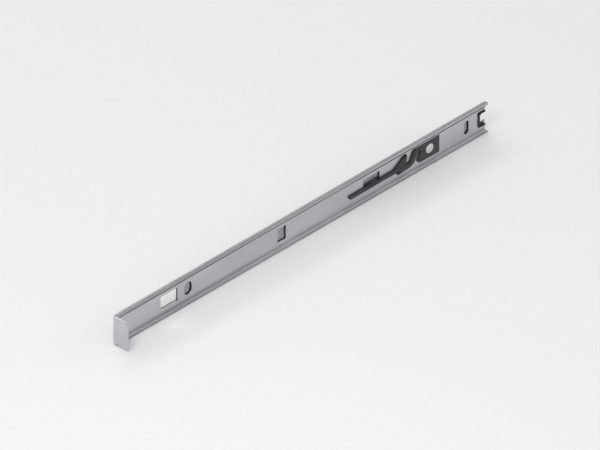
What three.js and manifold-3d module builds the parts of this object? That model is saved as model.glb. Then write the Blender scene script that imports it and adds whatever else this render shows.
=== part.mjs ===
// Two-member ball-bearing drawer slide, drawer closed, in millimetres.
// +X runs along the rails to the back of the cabinet and +Z is up. The cabinet wall is the plane Y = 0, and
// the slide stands out from it towards -Y. "Depth" below is the distance from the wall, so Y = -depth.
// The origin is the middle of the cabinet rail's back face.

import * as THREE from "three";
import { mergeVertices } from "three/addons/utils/BufferGeometryUtils.js";
import Module from "manifold-3d";

// Driving dimensions
const RAIL_LENGTH = 508;
const RAIL_HEIGHT = 35.3;
const SHEET = 0.9;
const BALL_RADIUS = 1.19;
const BALL_COUNT = 11;
const BALL_PITCH = 14.4;
const TRAVEL = 326;

// Ball race: both rails are rolled round the row of balls
const RACE_PLAY = 0.09;
const RACE_RADIUS = BALL_RADIUS + RACE_PLAY;
const RACE_OUTSIDE = RACE_RADIUS + SHEET;
const ROW_DEPTH = 3.72;
const ROW_HEIGHT = RAIL_HEIGHT / 2 - RACE_OUTSIDE;
const ARC_STEPS = 10;
const BEND_STEPS = 4;

// Cabinet rail
const CABINET_FRONT = -RAIL_LENGTH / 2;
const CABINET_REAR = RAIL_LENGTH / 2;
const SHOULDER_RISE = 0.6; // inside of the shoulder above the ball row
const CABINET_BEND = 0.3; // inside radius
const CABINET_DIVISION = 15.4; // height where the race starts
const SCREW_HOLE_XS = [-219, -123, 69, 197];
const SCREW_HOLE_RADIUS = 2.3;
const STOP = { length: 6, low: -4.5, high: 0.2, top: 1.7, gap: 0.5 }; // catches the lever's block at the end

// Drawer rail: further forward than the cabinet rail, so that its tab clears that rail's front end
const DRAWER_FRONT = CABINET_FRONT - 2.2;
const DRAWER_RAIL_FRONT = CABINET_FRONT - 0.3; // where the tab starts
const DRAWER_REAR = CABINET_REAR - 4;
const DRAWER_WEB = 1.9; // depth of the web's back face
const DRAWER_FACE = DRAWER_WEB + SHEET;
const RIDGE_DROP = 0.7; // ridges beside the groove, below the ball row
const DRAWER_BEND = 0.7; // outside radius
const FLANGE_EDGE = 6.1; // just clear of the cabinet rail, for the drawer's side to lie on
const DRAWER_DIVISION = 13.2; // height where the flange starts
const DIVISION_GAP = 0.1;

// Front tab, as tall as the channel is wide and level with the cabinet rail's top
const TAB_REACH = 21.7;
const TAB_TOP = 17.6;
const TAB_BOTTOM = -14;
const TAB_SHEET = 1.2;
const TAB_BEND = 0.4;
const TAB_CORNER = 0.8;

// Cut-outs in the drawer rail's web: centre, width, height and corner radius
const POCKET = { x: -181.5, z: 0.2, width: 23.3, height: 15, corner: 0.6 };
const FRONT_SLOT = { x: -156, z: 0, width: 10.3, height: 14.6, corner: 5.1 };
const MIDDLE_SLOT = { x: -28.2, z: 0.2, width: 11.6, height: 16, corner: 0.6 };
const LEVER_WINDOW = { x: 95, z: 0.9, width: 22.9, height: 14.2, corner: 0.6 };
const REAR_SLOT = { x: 226.6, z: 0, width: 6.6, height: 15.4, corner: 3.25 };
const NOTCH = { x: 247.7, z: 0, width: 10, height: 17.6, corner: 1 };

// Release lever
const LEVER_BACK = DRAWER_FACE + 0.12;
const LEVER_FACE = LEVER_BACK + 1.9;
const LEVER_OUTLINE = [
  // X, height, corner radius
  [63.5, -5, 1.7],
  [63.5, -1.2, 1.7],
  [125, -0.2, 4],
  [143, 11.4, 1],
  [141.2, -1.4, 0.6],
  [146.6, -1.8, 1.4],
  [154.8, 12.5, 0.8],
  [187.2, 12.5, 1],
  [187.2, -8, 1],
  [157, -8, 2.6],
  [161.9, 6.9, 1.6],
  [157.9, 6.9, 1.6],
  [152.4, -4, 3],
  [147.6, -6.7, 4],
  [129.4, -8.5, 0.5],
  [132.6, -4.4, 0.5],
];
const FLEXURE = { x: 153.0, z: 4.0, lean: 31, gap: 0.5, width: 9 };
const BLOCK = { x: 92, z: -2.8, width: 8, height: 3.2, back: 1.2 };
const PAD = { x: 92, z: -2.9, width: 15, height: 2.4, face: LEVER_FACE + 0.7 };
const RIVET = { x: 173.3, z: 2.7, head: 5.2, shank: 2.5, tail: 3.9, hole: 2.7 };

// Ball retainers
const RETAINER_X = -4;
const RETAINER_LENGTH = 156;
const RETAINER_LOW = ROW_HEIGHT - RIDGE_DROP + 0.14;
const RETAINER_SHEET = 0.4;
const RETAINER_BACK = 1.4;
const RETAINER_EDGE = 5.5;
const RETAINER_HOLE = BALL_RADIUS + 0.12;

// Rear bumper
const BUMPER = { front: 243.0, rear: 252.4, half: 8.5, wall: 1.4, back: SHEET + 0.1, face: 4.2 };
const BUMPER_PEG = { x: 245.6, z: 6.3, boss: 1.5, peg: 0.9, hole: 1.1 };
const CABINET_NOTCH = { x: 251, z: 0, width: 8, height: 9.2, corner: 1 };

const wasm = await Module();
wasm.setup();

const steel = new THREE.MeshStandardMaterial({ color: 0xc9ccce, roughness: 0.35, metalness: 1 });
const retainerSteel = new THREE.MeshStandardMaterial({ color: 0xb9b6a8, roughness: 0.4, metalness: 1 });
const ballSteel = new THREE.MeshStandardMaterial({ color: 0xe2e4e6, roughness: 0.08, metalness: 1 });
const leverPlastic = new THREE.MeshStandardMaterial({ color: 0x1c1d1f, roughness: 0.5, metalness: 0 });
const rivetSteel = new THREE.MeshStandardMaterial({ color: 0xd4d6d8, roughness: 0.25, metalness: 1 });
const bumperRubber = new THREE.MeshStandardMaterial({ color: 0x2b2b2d, roughness: 0.8, metalness: 0 });

// Axes for extrusions: a section across the rail, and a plan that is seen from the drawer
const ACROSS_RAIL = new THREE.Matrix4().makeBasis(
  new THREE.Vector3(0, 1, 0),
  new THREE.Vector3(0, 0, 1),
  new THREE.Vector3(1, 0, 0),
);
const FROM_DRAWER = new THREE.Matrix4().makeBasis(
  new THREE.Vector3(1, 0, 0),
  new THREE.Vector3(0, 0, 1),
  new THREE.Vector3(0, -1, 0),
);

function solidOf(geometry) {
  const bare = geometry.clone();
  bare.deleteAttribute("normal");
  bare.deleteAttribute("uv");
  const merged = mergeVertices(bare);
  return new wasm.Manifold(
    new wasm.Mesh({
      numProp: 3,
      vertProperties: new Float32Array(merged.attributes.position.array),
      triVerts: new Uint32Array(merged.index.array),
    }),
  );
}

function meshOf(name, solid, material) {
  const { vertProperties, triVerts } = solid.getMesh();
  const geometry = new THREE.BufferGeometry();
  geometry.setAttribute("position", new THREE.BufferAttribute(vertProperties, 3));
  geometry.setIndex(new THREE.BufferAttribute(triVerts, 1));
  geometry.computeVertexNormals();
  const mesh = new THREE.Mesh(geometry, material);
  mesh.name = name;
  return mesh;
}

function joined(...solids) {
  return solids.reduce((whole, next) => whole.add(next));
}

function extruded(points, length) {
  const shape = new THREE.Shape(points.map(([x, y]) => new THREE.Vector2(x, y)));
  return new THREE.ExtrudeGeometry(shape, { depth: length, bevelEnabled: false, steps: 1 });
}

// A bar along X. The section is a list of [depth, height].
function bar(section, from, to) {
  const geometry = extruded(section.map(([depth, z]) => [-depth, z]), to - from);
  geometry.translate(0, 0, from).applyMatrix4(ACROSS_RAIL);
  return solidOf(geometry);
}

// A flat piece between two depths. The outline is a list of [x, z].
function plate(outline, back, face) {
  const geometry = extruded(outline, face - back);
  geometry.translate(0, 0, back).applyMatrix4(FROM_DRAWER);
  return solidOf(geometry);
}

function arc(x, y, radius, from, to, steps) {
  return Array.from({ length: steps + 1 }, (_, i) => {
    const angle = THREE.MathUtils.degToRad(from + ((to - from) * i) / steps);
    return [x + radius * Math.cos(angle), y + radius * Math.sin(angle)];
  });
}

// A closed outline with its corners rounded. Each corner is [x, y, radius].
function rounded(corners, steps = 5) {
  return corners.flatMap(([x, y, radius], i) => {
    const corner = new THREE.Vector2(x, y);
    const before = new THREE.Vector2(...corners.at(i - 1).slice(0, 2)).sub(corner).normalize();
    const after = new THREE.Vector2(...corners[(i + 1) % corners.length].slice(0, 2)).sub(corner).normalize();
    const half = Math.acos(THREE.MathUtils.clamp(before.dot(after), -1, 1)) / 2;
    const centre = before.clone().add(after).setLength(radius / Math.sin(half)).add(corner);
    const start = before.multiplyScalar(radius / Math.tan(half)).add(corner).sub(centre);
    const end = after.multiplyScalar(radius / Math.tan(half)).add(corner).sub(centre);
    const turn = Math.atan2(start.cross(end), start.dot(end));
    return Array.from({ length: steps + 1 }, (_, k) => {
      const point = start.clone().rotateAround(new THREE.Vector2(), (turn * k) / steps).add(centre);
      return [point.x, point.y];
    });
  });
}

function roundedBox({ x, z, width, height, corner }) {
  const [w, h] = [width / 2, height / 2];
  return rounded([
    [x - w, z - h, corner],
    [x + w, z - h, corner],
    [x + w, z + h, corner],
    [x - w, z + h, corner],
  ]);
}

function cutOut(box, back, face) {
  return plate(roundedBox(box), back, face);
}

function disc(x, z, radius, back, face, steps = 20) {
  return plate(arc(x, z, radius, 0, 360, steps).slice(0, -1), back, face);
}

function turnedTo(side, section) {
  return section.map(([depth, z]) => [depth, side * z]);
}

function degrees(radians) {
  return THREE.MathUtils.radToDeg(radians);
}

// Each rail is one rolled strip, divided here into its web and the two bars along the web's edges.
// side is 1 for the upper bar and -1 for the lower one.

// Shoulder, race round the balls, and a lip that ends level with them
function cabinetRace(side) {
  const shoulder = ROW_HEIGHT + SHOULDER_RISE;
  const bendOutside = CABINET_BEND + SHEET;
  const bendHeight = shoulder - CABINET_BEND;
  const outerStart = 180 - degrees(Math.asin((SHOULDER_RISE + SHEET) / RACE_OUTSIDE));
  const innerEnd = 180 - degrees(Math.asin(SHOULDER_RISE / RACE_RADIUS));
  const section = [
    [0, CABINET_DIVISION],
    ...arc(bendOutside, bendHeight, bendOutside, 180, 90, BEND_STEPS),
    ...arc(ROW_DEPTH, ROW_HEIGHT, RACE_OUTSIDE, outerStart, 0, ARC_STEPS),
    ...arc(ROW_DEPTH, ROW_HEIGHT, RACE_RADIUS, 0, innerEnd, ARC_STEPS),
    ...arc(bendOutside, bendHeight, CABINET_BEND, 90, 180, 2),
    [SHEET, CABINET_DIVISION],
  ];
  return bar(turnedTo(side, section), CABINET_FRONT, CABINET_REAR);
}

// Bend, groove under the balls, and an edge that stands clear of the cabinet rail
function drawerFlange(side) {
  const ridge = ROW_HEIGHT - RIDGE_DROP;
  const grooveEdge = degrees(Math.asin(RIDGE_DROP / RACE_RADIUS));
  const underEdge = degrees(Math.asin((RIDGE_DROP + SHEET) / RACE_OUTSIDE));
  const underWeb = degrees(Math.acos((ROW_DEPTH - DRAWER_FACE) / RACE_OUTSIDE));
  const section = [
    [DRAWER_WEB, DRAWER_DIVISION],
    ...arc(DRAWER_WEB + DRAWER_BEND, ridge - DRAWER_BEND, DRAWER_BEND, 180, 90, BEND_STEPS),
    ...arc(ROW_DEPTH, ROW_HEIGHT, RACE_RADIUS, 180 + grooveEdge, 360 - grooveEdge, ARC_STEPS),
    [FLANGE_EDGE, ridge],
    [FLANGE_EDGE, ridge - SHEET],
    ...arc(ROW_DEPTH, ROW_HEIGHT, RACE_OUTSIDE, 360 - underEdge, 180 + underWeb, ARC_STEPS),
    [DRAWER_FACE, DRAWER_DIVISION],
  ];
  return bar(turnedTo(side, section), DRAWER_RAIL_FRONT, DRAWER_REAR);
}

// The drawer rail's web runs on past the front end and turns through a right angle into the tab
function frontTab() {
  const outside = TAB_BEND + TAB_SHEET;
  const tabEnd = DRAWER_RAIL_FRONT - DIVISION_GAP;
  const [bendX, bendDepth] = [DRAWER_FRONT + outside, DRAWER_WEB + outside];
  const plan = [
    [tabEnd, -DRAWER_WEB],
    ...arc(bendX, -bendDepth, outside, 90, 180, 6),
    [DRAWER_FRONT, -TAB_REACH],
    [DRAWER_FRONT + TAB_SHEET, -TAB_REACH],
    ...arc(bendX, -bendDepth, TAB_BEND, 180, 90, 4),
    [tabEnd, -DRAWER_WEB - TAB_SHEET],
  ];
  const strip = extruded(plan, TAB_TOP - TAB_BOTTOM).translate(0, 0, TAB_BOTTOM);
  const face = rounded([
    [0, TAB_BOTTOM, TAB_CORNER],
    [TAB_REACH, TAB_BOTTOM, TAB_CORNER * 2],
    [TAB_REACH, TAB_TOP, TAB_CORNER * 2],
    [0, TAB_TOP, TAB_CORNER],
  ]);
  return solidOf(strip).intersect(bar(face, DRAWER_FRONT - 1, CABINET_FRONT));
}

function frontStop() {
  const { length, low, high, top, gap } = STOP;
  const x = BLOCK.x - BLOCK.width / 2 - TRAVEL - gap - length / 2;
  return cutOut({ x, z: (low + high) / 2, width: length, height: high - low, corner: 0.5 }, SHEET / 2, top);
}

function cabinetWeb() {
  const half = CABINET_DIVISION - DIVISION_GAP;
  const section = [[0, -half], [SHEET, -half], [SHEET, half], [0, half]];
  const holes = [
    ...SCREW_HOLE_XS.map((x) => disc(x, 0, SCREW_HOLE_RADIUS, -1, 2)),
    ...[-1, 1].map((side) => disc(BUMPER_PEG.x, side * BUMPER_PEG.z, BUMPER_PEG.hole, -1, 2, 12)),
    cutOut(POCKET, -1, 2),
    cutOut(CABINET_NOTCH, -1, 2),
  ];
  return joined(bar(section, CABINET_FRONT, CABINET_REAR), frontStop()).subtract(joined(...holes));
}

function drawerWeb() {
  const half = DRAWER_DIVISION - DIVISION_GAP;
  const section = [[DRAWER_WEB, -half], [DRAWER_FACE, -half], [DRAWER_FACE, half], [DRAWER_WEB, half]];
  const cuts = [POCKET, FRONT_SLOT, MIDDLE_SLOT, LEVER_WINDOW, REAR_SLOT, NOTCH].map((box) =>
    cutOut(box, DRAWER_WEB - 1, DRAWER_FACE + 1),
  );
  const rivetHole = disc(RIVET.x, RIVET.z, RIVET.hole, DRAWER_WEB - 1, DRAWER_FACE + 1);
  return bar(section, DRAWER_RAIL_FRONT, DRAWER_REAR).subtract(joined(...cuts, rivetHole));
}

// The lever is one moulding. It is divided at its flexing leg, so that the arm can turn there.
function lever() {
  const body = plate(rounded(LEVER_OUTLINE), LEVER_BACK, LEVER_FACE);
  const lean = THREE.MathUtils.degToRad(FLEXURE.lean);
  const [w, h] = [FLEXURE.width / 2, FLEXURE.gap / 2];
  const division = [[-w, -h], [w, -h], [w, h], [-w, h]].map(([x, z]) => [
    FLEXURE.x + x * Math.cos(lean) + z * Math.sin(lean),
    FLEXURE.z - x * Math.sin(lean) + z * Math.cos(lean),
  ]);
  const [first, second] = body.subtract(plate(division, 0, LEVER_FACE + 1)).decompose();
  const firstIsArm = first.boundingBox().min[0] < second.boundingBox().min[0];
  const [arm, base] = firstIsArm ? [first, second] : [second, first];
  const block = cutOut({ ...BLOCK, corner: 0.5 }, BLOCK.back, LEVER_BACK + 0.2);
  const pad = cutOut({ ...PAD, corner: 1 }, LEVER_FACE - 0.2, PAD.face);
  return {
    arm: joined(arm, block, pad),
    base: base.subtract(disc(RIVET.x, RIVET.z, RIVET.hole, 0, LEVER_FACE + 1)),
  };
}

// Round head on the lever, shank through the web, and a clinched tail behind it
function rivet() {
  const tailFace = DRAWER_WEB - 0.12;
  const headBack = LEVER_FACE + 0.1;
  const profile = [
    [0, 1.15],
    [RIVET.tail - 0.2, 1.15],
    [RIVET.tail, 1.3],
    [RIVET.tail, tailFace],
    [RIVET.shank, tailFace],
    [RIVET.shank, headBack],
    [RIVET.head, headBack],
    [RIVET.head, headBack + 0.35],
    [RIVET.head - 0.8, headBack + 0.75],
    [RIVET.head - 2.4, headBack + 0.98],
    [0, headBack + 1.05],
  ];
  const points = profile.map(([radius, depth]) => new THREE.Vector2(radius, -depth)).reverse();
  return solidOf(new THREE.LatheGeometry(points, 24).translate(RIVET.x, 0, RIVET.z));
}

function ballX(index) {
  return RETAINER_X + (index - (BALL_COUNT - 1) / 2) * BALL_PITCH;
}

// A strip with a hole for each ball, above the drawer rail (side = 1) or below it (side = -1)
function retainer(side) {
  const [from, to] = [RETAINER_X - RETAINER_LENGTH / 2, RETAINER_X + RETAINER_LENGTH / 2];
  const low = side > 0 ? RETAINER_LOW : -RETAINER_LOW - RETAINER_SHEET;
  const plan = rounded([
    [from, -RETAINER_EDGE, 0.8],
    [to, -RETAINER_EDGE, 0.8],
    [to, -RETAINER_BACK, 0.8],
    [from, -RETAINER_BACK, 0.8],
  ]);
  const strip = solidOf(extruded(plan, RETAINER_SHEET).translate(0, 0, low));
  const holes = Array.from({ length: BALL_COUNT }, (_, i) =>
    solidOf(
      extruded(arc(ballX(i), -ROW_DEPTH, RETAINER_HOLE, 0, 360, 16).slice(0, -1), 2).translate(0, 0, low - 1),
    ),
  );
  return strip.subtract(joined(...holes));
}

// A soft U round the notch in the drawer rail's rear end, with two pegs through the cabinet rail's web
function rearBumper() {
  const { front, rear, half, wall, back, face } = BUMPER;
  const outline = rounded([
    [front, -half, 1.2],
    [rear, -half, 0.6],
    [rear, -half + wall, 0.6],
    [front + wall, -half + wall, 0.8],
    [front + wall, half - wall, 0.8],
    [rear, half - wall, 0.6],
    [rear, half, 0.6],
    [front, half, 1.2],
  ]);
  const pegs = [-1, 1].flatMap((side) => [
    disc(BUMPER_PEG.x, side * BUMPER_PEG.z, BUMPER_PEG.boss, back, face - 1, 16),
    disc(BUMPER_PEG.x, side * BUMPER_PEG.z, BUMPER_PEG.peg, 0.1, face - 1.2, 12),
  ]);
  return joined(plate(outline, back, face), ...pegs);
}

const slide = new THREE.Group();
slide.name = "drawer_slide";

slide.add(meshOf("cabinet_web", cabinetWeb(), steel));
slide.add(meshOf("rear_bumper", rearBumper(), bumperRubber));
slide.add(meshOf("drawer_web", drawerWeb(), steel));
slide.add(meshOf("front_tab", frontTab(), steel));

const { arm, base } = lever();
slide.add(meshOf("lever_arm", arm, leverPlastic));
slide.add(meshOf("lever_base", base, leverPlastic));
slide.add(meshOf("lever_rivet", rivet(), rivetSteel));

for (const [side, sign] of [["upper", 1], ["lower", -1]]) {
  slide.add(meshOf(`cabinet_${side}_race`, cabinetRace(sign), steel));
  slide.add(meshOf(`drawer_${side}_flange`, drawerFlange(sign), steel));
  slide.add(meshOf(`${side}_retainer`, retainer(sign), retainerSteel));
  for (let i = 0; i < BALL_COUNT; i += 1) {
    const sphere = solidOf(new THREE.SphereGeometry(BALL_RADIUS, 12, 8));
    const ball = meshOf(`${side}_ball_${i + 1}`, sphere, ballSteel);
    ball.position.set(ballX(i), -ROW_DEPTH, sign * ROW_HEIGHT);
    slide.add(ball);
  }
}

export default slide;
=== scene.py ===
"""Looks of the cabinet drawer slide: rolled rails, a one-piece lever, polished balls and a plain studio."""

import math

import bmesh
import bpy
from mathutils import Matrix, Vector


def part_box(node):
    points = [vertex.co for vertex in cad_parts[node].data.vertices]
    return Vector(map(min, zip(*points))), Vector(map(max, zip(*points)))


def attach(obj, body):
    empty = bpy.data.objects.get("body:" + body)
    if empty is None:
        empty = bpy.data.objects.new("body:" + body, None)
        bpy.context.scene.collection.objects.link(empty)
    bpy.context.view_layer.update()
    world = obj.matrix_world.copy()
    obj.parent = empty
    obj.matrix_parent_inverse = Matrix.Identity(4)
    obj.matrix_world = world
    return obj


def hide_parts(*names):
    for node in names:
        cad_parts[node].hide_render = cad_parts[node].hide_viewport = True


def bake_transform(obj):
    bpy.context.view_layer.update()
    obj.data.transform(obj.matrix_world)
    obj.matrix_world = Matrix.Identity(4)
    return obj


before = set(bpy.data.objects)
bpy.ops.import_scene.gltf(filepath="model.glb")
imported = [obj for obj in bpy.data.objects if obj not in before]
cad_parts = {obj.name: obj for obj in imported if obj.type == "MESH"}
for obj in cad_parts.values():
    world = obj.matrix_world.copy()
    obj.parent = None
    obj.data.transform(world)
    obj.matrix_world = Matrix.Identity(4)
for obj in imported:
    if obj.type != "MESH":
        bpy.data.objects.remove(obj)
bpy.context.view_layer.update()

MM = 0.001
MERGED = 2e-6  # metres between points that are one
ALONG_AN_AXIS = 0.99999  # a flat face's normal, which no neighbour may bend
SHARP_ANGLE = 50  # degrees between faces that aren't shaded as one
LATHE_SHARP_ANGLE = 40

CABINET_NODES = ("cabinet_web", "cabinet_upper_race", "cabinet_lower_race")
DRAWER_NODES = ("drawer_web", "drawer_upper_flange", "drawer_lower_flange", "front_tab")


def box_mm(node):
    return tuple(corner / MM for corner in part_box(node))


# Sizes that follow from the frame, in millimetres. Depth is the distance from the cabinet wall, so
# Y = -depth.
CABINET_LOW = box_mm("cabinet_lower_race")[0]
CABINET_HIGH = box_mm("cabinet_upper_race")[1]
WEB_LOW, WEB_HIGH = box_mm("drawer_web")
TAB_LOW, TAB_HIGH = box_mm("front_tab")
LEVER_LOW, LEVER_HIGH = box_mm("lever_base")
RIVET_LOW, RIVET_HIGH = box_mm("lever_rivet")
BUMPER_LOW, BUMPER_HIGH = box_mm("rear_bumper")
RETAINER_LOW, RETAINER_HIGH = box_mm("upper_retainer")
BALL_LOW, BALL_HIGH = box_mm("upper_ball_1")
CABINET_DEPTH = -CABINET_LOW.y

# Rolled sections
SHEET = 0.9
BALL_RADIUS = (BALL_HIGH.y - BALL_LOW.y) / 2
ROW_DEPTH = -(BALL_HIGH.y + BALL_LOW.y) / 2
RACE_OUTSIDE = CABINET_DEPTH - ROW_DEPTH
RACE_RADIUS = RACE_OUTSIDE - SHEET
ROW_HEIGHT = CABINET_HIGH.z - RACE_OUTSIDE
SHOULDER_RISE = 0.6
CABINET_BEND = 0.3
RIDGE_DROP = 0.7
DRAWER_BEND = 0.7
FLANGE_EDGE = -box_mm("drawer_upper_flange")[0].y
DRAWER_WEB, DRAWER_FACE = -WEB_HIGH.y, -WEB_LOW.y  # depths of the web's back and of its front
RAIL_SOFTENING = 0.12

# Front tab
TAB_REACH = -TAB_LOW.y
TAB_SHEET = 1.2
TAB_BEND = 0.4
TAB_CORNER = 0.8
TAB_END = CABINET_LOW.x - 0.15  # the tab is taller than the channel, so it stays clear of the cabinet rail
TAB_LAP = 0.45  # length over which the rail and the tab are one

# Cut-outs: centre, width, height and corner radius
POCKET = {"x": -181.5, "z": 0.2, "width": 23.3, "height": 15, "corner": 0.6}
FRONT_SLOT = {"x": -156, "z": 0, "width": 10.3, "height": 14.6, "corner": 5.1}
MIDDLE_SLOT = {"x": -28.2, "z": 0.2, "width": 11.6, "height": 16, "corner": 0.6}
LEVER_WINDOW = {"x": 95, "z": 0.9, "width": 22.9, "height": 14.2, "corner": 0.6}
REAR_SLOT = {"x": 226.6, "z": 0, "width": 6.6, "height": 15.4, "corner": 3.25}
NOTCH = {"x": 247.7, "z": 0, "width": 10, "height": 17.6, "corner": 1}
CABINET_NOTCH = {"x": 251, "z": 0, "width": 8, "height": 9.2, "corner": 1}
SCREW_HOLE_XS = (-219, -123, 69, 197)
SCREW_HOLE_RADIUS = 2.3
FRONT_STOP = {"x": -241.5, "z": -2.15, "width": 6, "height": 4.7, "corner": 1.2}
STOP_FACE = 1.7

# Lever, as X, height and corner radius
LEVER_BACK, LEVER_FACE = -LEVER_HIGH.y, -LEVER_LOW.y
LEVER_OUTLINE = (
    (63.5, -5, 1.7),
    (63.5, -1.2, 1.7),
    (125, -0.2, 4),
    (143, 11.4, 1),
    (141.2, -1.4, 0.6),
    (146.6, -1.8, 1.4),
    (154.8, 12.5, 0.8),
    (187.2, 12.5, 1),
    (187.2, -8, 1),
    (157, -8, 2.6),
    (161.9, 6.9, 1.6),
    (157.9, 6.9, 1.6),
    (152.4, -4, 3),
    (147.6, -6.7, 4),
    (129.4, -8.5, 0.5),
    (132.6, -4.4, 0.5),
)
LEG_FROM, LEG_TO = 156.6, 150.4  # X where the leg starts and stops bending
LEG_SLICES = 8
LEVER_SOFTENING = 0.2
BLOCK = {"x": 92, "z": -2.8, "width": 8, "height": 3.2, "corner": 0.5}
BLOCK_BACK = 1.2
PAD = {"x": 92, "z": -2.9, "width": 15, "height": 2.4, "corner": 1}
PAD_FACE = LEVER_FACE + 0.7
LAP = 0.2  # how far the block and the pad reach into the lever
RIVET_X, RIVET_Z = (RIVET_LOW.x + RIVET_HIGH.x) / 2, (RIVET_LOW.z + RIVET_HIGH.z) / 2
RIVET_HEAD, RIVET_TAIL = (RIVET_HIGH.x - RIVET_LOW.x) / 2, 3.9
RIVET_SHANK, RIVET_HOLE = 2.5, 2.7

# Bumper
BUMPER_WALL = 1.4
BUMPER_BACK = SHEET + 0.1
BUMPER_SOFTENING = 0.25
PEG_X, PEG_Z, PEG_BACK = 245.6, 6.3, 0.1
BOSS_RADIUS, PEG_RADIUS, PEG_HOLE = 1.5, 0.9, 1.1

# Retainers
BALL_COUNT = 11
RETAINER_HOLE = BALL_RADIUS + 0.12
RETAINER_CORNER = 0.8
RETAINER_SOFTENING = 0.08

# Studio
VIEW_AZIMUTH, VIEW_ELEVATION = -45, 35.264
LENS_MM, SENSOR_MM = 1100, 36
VIEW_WIDTH = 0.582
AIM = Vector((-0.0004, 0, -0.0046))


# ---------------------------------------------------------------- outlines


def arc(x, y, radius, start, end, steps):
    angles = [math.radians(start + (end - start) * i / steps) for i in range(steps + 1)]
    return [(x + radius * math.cos(a), y + radius * math.sin(a)) for a in angles]


def circle(x, y, radius, steps=40):
    return arc(x, y, radius, 0, 360, steps)[:-1]


def rounded(corners, steps=8):
    """A closed outline with its corners rounded. Each corner is (x, y, radius)."""
    points = []
    for i, (x, y, radius) in enumerate(corners):
        corner = Vector((x, y))
        before = (Vector(corners[i - 1][:2]) - corner).normalized()
        after = (Vector(corners[(i + 1) % len(corners)][:2]) - corner).normalized()
        half = before.angle(after) / 2
        centre = corner + (before + after).normalized() * (radius / math.sin(half))
        start = corner + before * (radius / math.tan(half)) - centre
        end = corner + after * (radius / math.tan(half)) - centre
        turn = math.atan2(start.cross(end), start.dot(end))
        for k in range(steps + 1):
            point = Matrix.Rotation(turn * k / steps, 2) @ start + centre
            points.append((point.x, point.y))
    return points


def rounded_box(box):
    x, z, w, h = box["x"], box["z"], box["width"] / 2, box["height"] / 2
    signs = ((-1, -1), (1, -1), (1, 1), (-1, 1))
    return rounded([(x + sx * w, z + sz * h, box["corner"]) for sx, sz in signs])


def mirrored(half):
    return half + [(depth, -z) for depth, z in reversed(half)]


# ---------------------------------------------------------------- solids


def prism(name, points, lift):
    """A closed solid between the outline lift(x, y, 0) and lift(x, y, 1), in millimetres."""
    bm = bmesh.new()
    rings = [[bm.verts.new(Vector(lift(x, y, k)) * MM) for x, y in points] for k in (0, 1)]
    bm.faces.new(rings[0])
    bm.faces.new(rings[1])
    for i in range(len(points)):
        j = (i + 1) % len(points)
        bm.faces.new((rings[0][i], rings[0][j], rings[1][j], rings[1][i]))
    bmesh.ops.recalc_face_normals(bm, faces=bm.faces)
    mesh = bpy.data.meshes.new(name)
    bm.to_mesh(mesh)
    bm.free()
    piece = bpy.data.objects.new(name, mesh)
    bpy.context.scene.collection.objects.link(piece)
    return piece


def bar(name, section, start, end):
    """A bar along X. The section is a list of (depth, height)."""
    return prism(name, section, lambda depth, z, k: (end if k else start, -depth, z))


def plate(name, outline, back, face):
    """A flat piece between two depths. The outline is a list of (x, z)."""
    return prism(name, outline, lambda x, z, k: (x, -face if k else -back, z))


def slab(name, plan, low, high):
    """A flat piece between two heights. The plan is a list of (x, depth)."""
    return prism(name, plan, lambda x, depth, k: (x, -depth, high if k else low))


def finished_mesh(piece):
    """The piece's mesh with its modifiers applied."""
    graph = bpy.context.evaluated_depsgraph_get()
    mesh = bpy.data.meshes.new_from_object(piece.evaluated_get(graph))
    piece.modifiers.clear()
    piece.data = mesh
    return piece


def combine(piece, operation, tools):
    for tool in tools:
        modifier = piece.modifiers.new(operation, "BOOLEAN")
        modifier.operation = operation
        modifier.object = tool
        modifier.solver = "EXACT"
    finished_mesh(piece)
    for tool in tools:
        bpy.data.objects.remove(tool)
    bm = bmesh.new()
    bm.from_mesh(piece.data)
    bmesh.ops.remove_doubles(bm, verts=bm.verts, dist=MERGED)
    bmesh.ops.dissolve_degenerate(bm, edges=bm.edges, dist=MERGED)
    bm.to_mesh(piece.data)
    bm.free()
    return piece


def split_across_x(piece, cuts):
    """Adds edges round the piece at each X of the cuts, so that it can bend there."""
    bm = bmesh.new()
    bm.from_mesh(piece.data)
    for x in cuts:
        everything = bm.verts[:] + bm.edges[:] + bm.faces[:]
        bmesh.ops.bisect_plane(bm, geom=everything, plane_co=(x * MM, 0, 0), plane_no=(1, 0, 0))
    bm.to_mesh(piece.data)
    bm.free()


def soften(piece, width, segments=2, angle=28, cuts=()):
    """Breaks the sharp edges, splits across X at the cuts, and shades smooth with flat faces kept flat."""
    bevel = piece.modifiers.new("bevel", "BEVEL")
    bevel.width = width * MM
    bevel.segments = segments
    bevel.limit_method = "ANGLE"
    bevel.angle_limit = math.radians(angle)
    bevel.use_clamp_overlap = False
    bevel.miter_outer = "MITER_ARC"
    finished_mesh(piece)
    split_across_x(piece, cuts)
    piece.data.shade_smooth()
    piece.data.set_sharp_from_angle(angle=math.radians(SHARP_ANGLE))
    weighted = piece.modifiers.new("weighted", "WEIGHTED_NORMAL")
    weighted.keep_sharp = True
    finished_mesh(piece)
    normals = [corner.vector.copy() for corner in piece.data.corner_normals]
    for polygon in piece.data.polygons:
        if max(abs(part) for part in polygon.normal) > ALONG_AN_AXIS:
            for i in polygon.loop_indices:
                normals[i] = polygon.normal.copy()
    piece.data.normals_split_custom_set(normals)
    return piece


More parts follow.
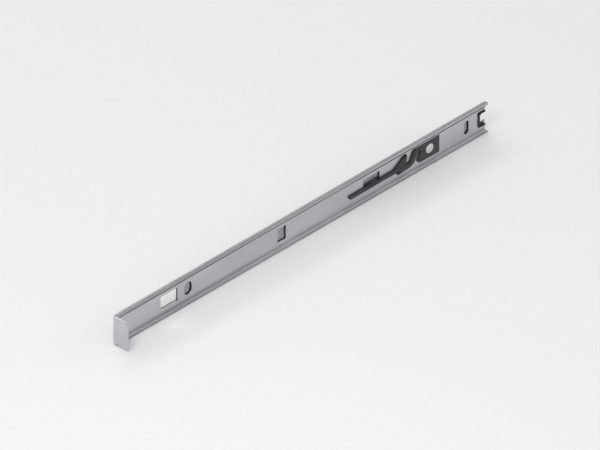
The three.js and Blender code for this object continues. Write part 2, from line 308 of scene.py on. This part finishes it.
def lathe(name, profile, x, z, steps=64):
    """A turned piece on an axis along Y. The profile is a list of (radius, depth), from axis to axis."""
    bm = bmesh.new()
    rings = []
    for radius, depth in profile:
        if radius == 0:
            rings.append([bm.verts.new(Vector((x, -depth, z)) * MM)])
        else:
            ring = circle(x, z, radius, steps)
            rings.append([bm.verts.new(Vector((px, -depth, pz)) * MM) for px, pz in ring])
    for lower, upper in zip(rings, rings[1:]):
        for i in range(steps):
            j = (i + 1) % steps
            below = [lower[i % len(lower)], lower[j % len(lower)]]
            above = [upper[j % len(upper)], upper[i % len(upper)]]
            bm.faces.new(list(dict.fromkeys(below + above)))
    bmesh.ops.recalc_face_normals(bm, faces=bm.faces)
    mesh = bpy.data.meshes.new(name)
    bm.to_mesh(mesh)
    bm.free()
    mesh.shade_smooth()
    mesh.set_sharp_from_angle(angle=math.radians(LATHE_SHARP_ANGLE))
    piece = bpy.data.objects.new(name, mesh)
    bpy.context.scene.collection.objects.link(piece)
    return piece


# ---------------------------------------------------------------- materials


class Nodes:
    """A material's node tree, with one short call for each node."""

    def __init__(self, name):
        self.material = bpy.data.materials.new(name)
        self.material.use_nodes = True
        self.tree = self.material.node_tree
        self.shader = self.tree.nodes["Principled BSDF"]

    def add(self, kind, **values):
        node = self.tree.nodes.new(kind)
        for key, value in values.items():
            if key in node.inputs:
                node.inputs[key].default_value = value
            else:
                setattr(node, key, value)
        return node

    def link(self, source, target):
        self.tree.links.new(source, target)

    def feed(self, source, name):
        """Links a source to one of the shader's sockets."""
        self.link(source, self.shader.inputs[name])

    def place(self, scale):
        """Object coordinates, scaled along each axis."""
        coordinates = self.add("ShaderNodeTexCoord")
        mapping = self.add("ShaderNodeMapping")
        mapping.inputs["Scale"].default_value = scale
        self.link(coordinates.outputs["Object"], mapping.inputs["Vector"])
        return mapping.outputs["Vector"]

    def noise(self, scale, detail=4.0, roughness=0.55, stretch=(1, 1, 1)):
        noise = self.add("ShaderNodeTexNoise", Scale=scale, Detail=detail, Roughness=roughness)
        self.link(self.place(stretch), noise.inputs["Vector"])
        return noise.outputs["Fac"]

    def ramp(self, source, stops):
        """A colour ramp. stops are (position, colour or grey)."""
        ramp = self.add("ShaderNodeValToRGB")
        elements = ramp.color_ramp.elements
        while len(elements) < len(stops):
            elements.new(0.5)
        for element, (position, colour) in zip(elements, stops):
            element.position = position
            element.color = (*colour, 1) if isinstance(colour, tuple) else (colour, colour, colour, 1)
        self.link(source, ramp.inputs["Fac"])
        return ramp.outputs["Color"]

    def mix(self, factor, a, b, blend="MIX"):
        mix = self.add("ShaderNodeMix", data_type="RGBA", blend_type=blend)
        for socket, value in ((mix.inputs[0], factor), (mix.inputs[6], a), (mix.inputs[7], b)):
            if isinstance(value, bpy.types.NodeSocket):
                self.link(value, socket)
            elif isinstance(value, tuple):
                socket.default_value = (*value, 1)
            else:
                socket.default_value = value
        return mix.outputs[2]

    def bump(self, height, strength, distance, normal=None):
        bump = self.add("ShaderNodeBump", Strength=strength, Distance=distance)
        self.link(height, bump.inputs["Height"])
        if normal is not None:
            self.link(normal, bump.inputs["Normal"])
        return bump.outputs["Normal"]


def rolled_steel(name, bright, dull, roughness):
    """Zinc-plated strip: rolling grain along X, cloudy plating, and fine scratches and rub marks."""
    n = Nodes(name)
    grain = n.noise(900, detail=6, roughness=0.6, stretch=(0.02, 1, 1))
    cloud = n.noise(28, detail=5, roughness=0.6, stretch=(0.35, 1, 1))
    speckle = n.noise(2600, detail=3)
    rubs = n.noise(160, detail=8, roughness=0.75, stretch=(0.06, 1, 1))
    colour = n.mix(n.ramp(cloud, ((0.35, 0.0), (0.68, 1.0))), dull, bright)
    colour = n.mix(n.ramp(grain, ((0.35, 0.0), (0.65, 0.45))), colour, bright)
    scratches = n.noise(1500, detail=8, roughness=0.8, stretch=(0.015, 1, 1))
    marks = n.ramp(scratches, ((0.56, 0.0), (0.68, 0.55)))
    n.feed(n.mix(marks, colour, (0.86, 0.87, 0.88)), "Base Color")
    low, high = roughness
    rough = n.mix(n.ramp(rubs, ((0.42, 0.0), (0.62, 1.0))), (low,) * 3, (high,) * 3)
    rough = n.mix(n.ramp(cloud, ((0.3, 0.0), (0.7, 0.5))), rough, (high,) * 3)
    n.feed(rough, "Roughness")
    normal = n.bump(grain, 0.3, 0.00003)
    n.feed(n.bump(speckle, 0.15, 0.00002, normal), "Normal")
    n.shader.inputs["Metallic"].default_value = 1.0
    return n.material


def polished_steel(name, colour):
    """Bearing steel: nearly a mirror, with a film of grease that dulls it in places."""
    n = Nodes(name)
    film = n.noise(900, detail=4)
    fine = n.noise(5200, detail=2)
    n.feed(n.mix(n.ramp(film, ((0.45, 0.0), (0.7, 0.5))), colour, (0.66, 0.64, 0.58)), "Base Color")
    n.feed(n.mix(n.ramp(film, ((0.42, 0.0), (0.66, 1.0))), (0.06,) * 3, (0.26,) * 3), "Roughness")
    n.feed(n.bump(fine, 0.04, 0.00001), "Normal")
    n.shader.inputs["Metallic"].default_value = 1.0
    return n.material


def moulded_plastic(name, colour, rubbed):
    """Moulded acetal: spark-eroded grain, faint flow marks and patches rubbed paler."""
    n = Nodes(name)
    grain = n.noise(3400, detail=5, roughness=0.7)
    flow = n.noise(60, detail=3, stretch=(0.3, 1, 1))
    rubs = n.noise(240, detail=6, roughness=0.7, stretch=(0.4, 1, 1))
    body = n.mix(n.ramp(flow, ((0.3, 0.0), (0.75, 0.55))), colour, rubbed)
    body = n.mix(n.ramp(grain, ((0.45, 0.0), (0.8, 0.35))), body, rubbed)
    n.feed(n.mix(n.ramp(rubs, ((0.55, 0.0), (0.75, 0.6))), body, rubbed), "Base Color")
    n.feed(n.mix(n.ramp(grain, ((0.3, 0.0), (0.7, 1.0))), (0.42,) * 3, (0.58,) * 3), "Roughness")
    n.feed(n.bump(grain, 0.25, 0.00004), "Normal")
    return n.material


def soft_rubber(name, colour, dust):
    """Soft bumper rubber: dull, with dust in its grain."""
    n = Nodes(name)
    grain = n.noise(1800, detail=6, roughness=0.7)
    patch = n.noise(180, detail=4)
    n.feed(n.mix(n.ramp(patch, ((0.4, 0.0), (0.8, 0.6))), colour, dust), "Base Color")
    n.feed(n.mix(n.ramp(grain, ((0.3, 0.0), (0.7, 1.0))), (0.68,) * 3, (0.88,) * 3), "Roughness")
    n.feed(n.bump(grain, 0.35, 0.00005), "Normal")
    return n.material


def paper_floor(name):
    n = Nodes(name)
    fibre = n.noise(420, detail=6, roughness=0.7)
    n.feed(n.mix(n.ramp(fibre, ((0.3, 0.0), (0.7, 1.0))), (0.88,) * 3, (0.92,) * 3), "Base Color")
    n.shader.inputs["Roughness"].default_value = 0.9
    return n.material


BRIGHT_ZINC = (0.60, 0.61, 0.63), (0.46, 0.475, 0.495)
# A darker copy of the bright zinc for the cabinet rail: painted shade, so that the cabinet web seen through
# the drawer rail's cut-outs reads as shaded recesses.
SHADE_DARKENED_ZINC = (0.43, 0.44, 0.455), (0.31, 0.32, 0.335)
PLAIN_STRIP = (0.52, 0.50, 0.44), (0.40, 0.38, 0.34)
RIVET_PLATE = (0.66, 0.67, 0.68), (0.54, 0.55, 0.56)

MATERIALS = {
    "rail_steel": rolled_steel("zinc_plated_strip", *BRIGHT_ZINC, (0.26, 0.42)),
    # The cabinet rail's material: the same zinc strip, darkened as painted shade.
    "shade_darkened_steel": rolled_steel("shade_darkened_zinc_strip", *SHADE_DARKENED_ZINC, (0.28, 0.45)),
    "retainer_steel": rolled_steel("plain_stamped_strip", *PLAIN_STRIP, (0.30, 0.46)),
    "rivet_steel": rolled_steel("plated_rivet", *RIVET_PLATE, (0.18, 0.32)),
    "ball_steel": polished_steel("bearing_steel", (0.88, 0.89, 0.90)),
    "lever_plastic": moulded_plastic("black_acetal", (0.016, 0.016, 0.018), (0.05, 0.05, 0.054)),
    "bumper_rubber": soft_rubber("bumper_rubber", (0.02, 0.02, 0.021), (0.07, 0.068, 0.064)),
}


def place(piece, slot, body, *nodes, look=None):
    """Gives a piece its material and its body, and hides the CAD nodes that it stands for."""
    piece.data.materials.clear()
    piece.data.materials.append(MATERIALS[look or slot])
    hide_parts(*nodes)
    if body:
        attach(piece, body)


# ---------------------------------------------------------------- pieces


def cabinet_rail():
    shoulder = ROW_HEIGHT + SHOULDER_RISE
    outside = CABINET_BEND + SHEET
    bend = (outside, shoulder - CABINET_BEND)
    race = (ROW_DEPTH, ROW_HEIGHT)
    outer_start = 180 - math.degrees(math.asin((SHOULDER_RISE + SHEET) / RACE_OUTSIDE))
    inner_end = 180 - math.degrees(math.asin(SHOULDER_RISE / RACE_RADIUS))
    section = mirrored(
        arc(*bend, outside, 180, 90, 8)
        + arc(*race, RACE_OUTSIDE, outer_start, 0, 20)
        + arc(*race, RACE_RADIUS, 0, inner_end, 20)
        + arc(*bend, CABINET_BEND, 90, 180, 4)
    )
    rail = bar("cabinet_rail_rolled", section, CABINET_LOW.x, CABINET_HIGH.x)
    combine(rail, "UNION", [plate("stop", rounded_box(FRONT_STOP), SHEET / 2, STOP_FACE)])
    holes = [plate("hole", circle(x, 0, SCREW_HOLE_RADIUS), -1, 2) for x in SCREW_HOLE_XS]
    holes += [plate("hole", circle(PEG_X, side * PEG_Z, PEG_HOLE, 24), -1, 2) for side in (-1, 1)]
    holes += [plate("hole", rounded_box(box), -1, 2) for box in (POCKET, CABINET_NOTCH)]
    combine(rail, "DIFFERENCE", holes)
    soften(rail, RAIL_SOFTENING)
    # The cabinet rail takes the darkened zinc copy: painted shade for the recesses behind the drawer rail's
    # cut-outs.
    place(rail, "rail_steel", "cabinet", *CABINET_NODES, look="shade_darkened_steel")


def drawer_section():
    ridge = ROW_HEIGHT - RIDGE_DROP
    race = (ROW_DEPTH, ROW_HEIGHT)
    groove_edge = math.degrees(math.asin(RIDGE_DROP / RACE_RADIUS))
    under_edge = math.degrees(math.asin((RIDGE_DROP + SHEET) / RACE_OUTSIDE))
    under_web = math.degrees(math.acos((ROW_DEPTH - DRAWER_FACE) / RACE_OUTSIDE))
    return mirrored(
        arc(DRAWER_WEB + DRAWER_BEND, ridge - DRAWER_BEND, DRAWER_BEND, 180, 90, 8)
        + arc(*race, RACE_RADIUS, 180 + groove_edge, 360 - groove_edge, 20)
        + [(FLANGE_EDGE, ridge), (FLANGE_EDGE, ridge - SHEET)]
        + arc(*race, RACE_OUTSIDE, 360 - under_edge, 180 + under_web, 20)
    )


def front_tab():
    outside = TAB_BEND + TAB_SHEET
    front = TAB_LOW.x
    bend = (front + outside, DRAWER_WEB + outside)
    plan = (
        [(TAB_END, DRAWER_WEB)]
        + arc(*bend, outside, -90, -180, 14)
        + [(front, TAB_REACH), (front + TAB_SHEET, TAB_REACH)]
        + arc(*bend, TAB_BEND, -180, -90, 10)
        + [(TAB_END, DRAWER_WEB + TAB_SHEET)]
    )
    tab = slab("tab", plan, TAB_LOW.z, TAB_HIGH.z)
    outline = rounded(
        (
            (0, TAB_LOW.z, TAB_CORNER),
            (TAB_REACH, TAB_LOW.z, TAB_CORNER * 2),
            (TAB_REACH, TAB_HIGH.z, TAB_CORNER * 2),
            (0, TAB_HIGH.z, TAB_CORNER),
        )
    )
    return combine(tab, "INTERSECT", [bar("outline", outline, front - 1, TAB_END + 1)])


def drawer_rail():
    rail = bar("drawer_rail_rolled", drawer_section(), TAB_END - TAB_LAP, WEB_HIGH.x)
    combine(rail, "UNION", [front_tab()])
    boxes = (POCKET, FRONT_SLOT, MIDDLE_SLOT, LEVER_WINDOW, REAR_SLOT, NOTCH)
    cuts = [plate("cut", rounded_box(box), DRAWER_WEB - 1, DRAWER_FACE + 0.1) for box in boxes]
    cuts.append(plate("cut", circle(RIVET_X, RIVET_Z, RIVET_HOLE), DRAWER_WEB - 1, DRAWER_FACE + 0.1))
    combine(rail, "DIFFERENCE", cuts)
    soften(rail, RAIL_SOFTENING)
    place(rail, "rail_steel", "drawer", *DRAWER_NODES)


def release_lever():
    lever = plate("release_lever", rounded(LEVER_OUTLINE), LEVER_BACK, LEVER_FACE)
    block = plate("block", rounded_box(BLOCK), BLOCK_BACK, LEVER_BACK + LAP)
    pad = plate("pad", rounded_box(PAD), LEVER_FACE - LAP, PAD_FACE)
    combine(lever, "UNION", [block, pad])
    combine(lever, "DIFFERENCE", [plate("hole", circle(RIVET_X, RIVET_Z, RIVET_HOLE), 0, LEVER_FACE + 1)])
    cuts = [LEG_TO + (LEG_FROM - LEG_TO) * i / LEG_SLICES for i in range(LEG_SLICES + 1)]
    soften(lever, LEVER_SOFTENING, 3, cuts=cuts)
    place(lever, "lever_plastic", None, "lever_arm", "lever_base")
    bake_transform(lever)


def lever_rivet():
    head_back, head_face = LEVER_FACE + 0.1, -RIVET_LOW.y
    tail_back, tail_face = -RIVET_HIGH.y, DRAWER_WEB - 0.12
    dome = head_face - head_back - 0.3
    crown = [
        (RIVET_HEAD * math.cos(math.radians(a)), head_back + 0.3 + dome * math.sin(math.radians(a)))
        for a in range(0, 90, 10)
    ]
    tail = [
        (0, tail_back + 0.25),
        (1.2, tail_back),
        (RIVET_TAIL - 0.3, tail_back),
        (RIVET_TAIL, tail_back + 0.2),
        (RIVET_TAIL, tail_face),
    ]
    shank = [(RIVET_SHANK, tail_face), (RIVET_SHANK, head_back)]
    head = [(RIVET_HEAD, head_back)] + crown + [(0, head_face)]
    rivet = lathe("lever_rivet_turned", tail + shank + head, RIVET_X, RIVET_Z)
    place(rivet, "rivet_steel", "drawer", "lever_rivet")


def rear_bumper():
    front, rear, half = BUMPER_LOW.x, BUMPER_HIGH.x, BUMPER_HIGH.z
    face = -BUMPER_LOW.y
    inner = half - BUMPER_WALL
    outline = rounded(
        (
            (front, -half, 1.2),
            (rear, -half, 0.6),
            (rear, -inner, 0.6),
            (front + BUMPER_WALL, -inner, 0.8),
            (front + BUMPER_WALL, inner, 0.8),
            (rear, inner, 0.6),
            (rear, half, 0.6),
            (front, half, 1.2),
        )
    )
    bumper = plate("rear_bumper_moulded", outline, BUMPER_BACK, face)
    pegs = []
    for side in (-1, 1):
        pegs.append(plate("boss", circle(PEG_X, side * PEG_Z, BOSS_RADIUS, 28), BUMPER_BACK, face - 1))
        pegs.append(plate("peg", circle(PEG_X, side * PEG_Z, PEG_RADIUS, 20), PEG_BACK, face - 1.2))
    combine(bumper, "UNION", pegs)
    soften(bumper, BUMPER_SOFTENING, 3)
    place(bumper, "bumper_rubber", "cabinet", "rear_bumper")


def retainer(side, sign):
    low, high = RETAINER_LOW, RETAINER_HIGH
    plan = rounded(
        (
            (low.x, -low.y, RETAINER_CORNER),
            (high.x, -low.y, RETAINER_CORNER),
            (high.x, -high.y, RETAINER_CORNER),
            (low.x, -high.y, RETAINER_CORNER),
        )
    )
    heights = sorted((sign * low.z, sign * high.z))
    strip = slab(f"{side}_retainer_strip", plan, *heights)
    holes = []
    for i in range(BALL_COUNT):
        ball_low, ball_high = (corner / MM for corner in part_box(f"{side}_ball_{i + 1}"))
        centre = circle((ball_low.x + ball_high.x) / 2, ROW_DEPTH, RETAINER_HOLE, 28)
        holes.append(slab("hole", centre, heights[0] - 1, heights[1] + 1))
    combine(strip, "DIFFERENCE", holes)
    soften(strip, RETAINER_SOFTENING)
    place(strip, "retainer_steel", f"{side}_cage", f"{side}_retainer")


def ball(side, number):
    node = f"{side}_ball_{number}"
    low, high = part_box(node)
    bm = bmesh.new()
    bmesh.ops.create_icosphere(bm, subdivisions=4, radius=(high.y - low.y) / 2)
    bmesh.ops.translate(bm, vec=(low + high) / 2, verts=bm.verts)
    mesh = bpy.data.meshes.new(f"{node}_polished")
    bm.to_mesh(mesh)
    bm.free()
    mesh.shade_smooth()
    piece = bpy.data.objects.new(f"{node}_polished", mesh)
    bpy.context.scene.collection.objects.link(piece)
    place(piece, "ball_steel", f"{side}_cage", node)


cabinet_rail()
drawer_rail()
release_lever()
lever_rivet()
rear_bumper()
for side, sign in (("upper", 1), ("lower", -1)):
    retainer(side, sign)
    for number in range(1, BALL_COUNT + 1):
        ball(side, number)


# ---------------------------------------------------------------- studio


def floor():
    half_size, gap = 8, 0.0002
    mesh = bpy.data.meshes.new("floor")
    level = CABINET_LOW.z * MM - gap
    corners = [(x * half_size, y * half_size, level) for x, y in ((-1, -1), (1, -1), (1, 1), (-1, 1))]
    mesh.from_pydata(corners, [], [(0, 1, 2, 3)])
    piece = bpy.data.objects.new("floor", mesh)
    piece.data.materials.append(paper_floor("pale_paper"))
    bpy.context.scene.collection.objects.link(piece)


def softbox(name, location, size, watts):
    light = bpy.data.lights.new(name, "AREA")
    light.shape = "RECTANGLE"
    light.size, light.size_y = size
    light.energy = watts
    lamp = bpy.data.objects.new(name, light)
    lamp.location = location
    lamp.rotation_euler = (AIM - Vector(location)).to_track_quat("-Z", "Y").to_euler()
    bpy.context.scene.collection.objects.link(lamp)


def daylight(strength):
    world = bpy.data.worlds.new("studio")
    world.use_nodes = True
    background = world.node_tree.nodes["Background"]
    background.inputs["Color"].default_value = (1, 1, 1, 1)
    background.inputs["Strength"].default_value = strength
    bpy.context.scene.world = world


def camera():
    lens = bpy.data.cameras.new("camera")
    lens.lens, lens.sensor_width = LENS_MM, SENSOR_MM
    lens.clip_end = 100
    a, e = math.radians(VIEW_AZIMUTH), math.radians(VIEW_ELEVATION)
    back = Vector((math.sin(a) * math.cos(e), -math.cos(a) * math.cos(e), math.sin(e)))
    distance = VIEW_WIDTH * LENS_MM / SENSOR_MM
    eye = bpy.data.objects.new("camera", lens)
    eye.location = AIM + back * distance
    eye.rotation_euler = (-back).to_track_quat("-Z", "Y").to_euler()
    bpy.context.scene.collection.objects.link(eye)
    bpy.context.scene.camera = eye


floor()
daylight(0.6)
softbox("key", (-1.1, -0.6, 1.5), (0.9, 0.6), 13)
softbox("fill", (1.3, -1.1, 0.8), (0.8, 0.8), 2.5)
softbox("rim", (0.4, 1.4, 1.2), (1.6, 0.4), 5)
camera()
bpy.context.scene.view_settings.view_transform = "Standard"
